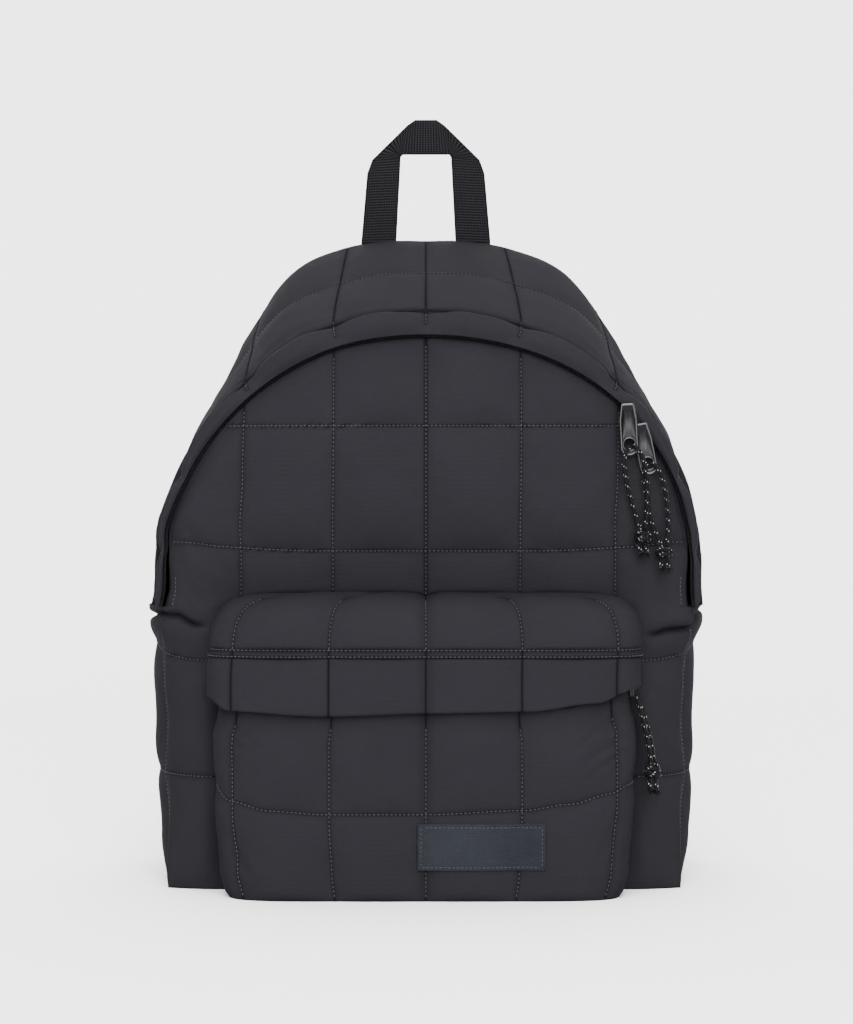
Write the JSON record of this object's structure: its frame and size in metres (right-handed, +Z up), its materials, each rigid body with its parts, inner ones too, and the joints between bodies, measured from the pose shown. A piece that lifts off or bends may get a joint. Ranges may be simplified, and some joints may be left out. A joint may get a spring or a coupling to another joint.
{
  "type": "quilted puffer backpack",
  "caption": "Quilted padded daypack with an arched main zip, a flapped front pocket, a webbing grab handle and padded shoulder straps.",
  "frame": {"origin": "middle of the footprint, on the surface that the bag stands on", "axes": "+Z up, +X to the right of someone who looks at the front, -Y out of the front"},
  "size_m": [0.3382, 0.2278, 0.4793],
  "materials": {
    "quilted_cloth": "matte quilted",
    "strap_cloth": "matte",
    "zip_tape": "matte",
    "tab_metal": "gunmetal satin",
    "cord_black": "braided, light flecks",
    "label_weave": "twill",
    "webbing_black": "ribbed webbing",
    "buckle_plastic": "moulded"
  },
  "bodies": {
    "root": {"back_panel": "quilted_cloth", "base_panel": "quilted_cloth", "front_panel": "quilted_cloth", "grab_handle": "webbing_black", "label_patch": "label_weave", "main_gusset": "quilted_cloth", "main_zipper": "zip_tape", "pocket_base": "quilted_cloth", "pocket_cord_a": "cord_black", "pocket_cord_b": "cord_black", "pocket_flap": "quilted_cloth", "pocket_front": "quilted_cloth", "pocket_hood": "quilted_cloth", "pocket_knot": "cord_black", "pocket_slider": "tab_metal", "pocket_zipper": "zip_tape", "pull_cord_a": "cord_black", "pull_cord_b": "cord_black", "pull_cord_c": "cord_black", "pull_cord_d": "cord_black", "pull_knot_front": "cord_black", "pull_knot_rear": "cord_black", "pull_tab_front": "tab_metal", "pull_tab_rear": "tab_metal", "shoulder_strap_left": "strap_cloth", "shoulder_strap_right": "strap_cloth", "strap_buckle_left": "buckle_plastic", "strap_buckle_right": "buckle_plastic", "strap_webbing_left": "webbing_black", "strap_webbing_right": "webbing_black", "zip_slider_front": "tab_metal", "zip_slider_rear": "tab_metal"}
  },
  "joints": []
}
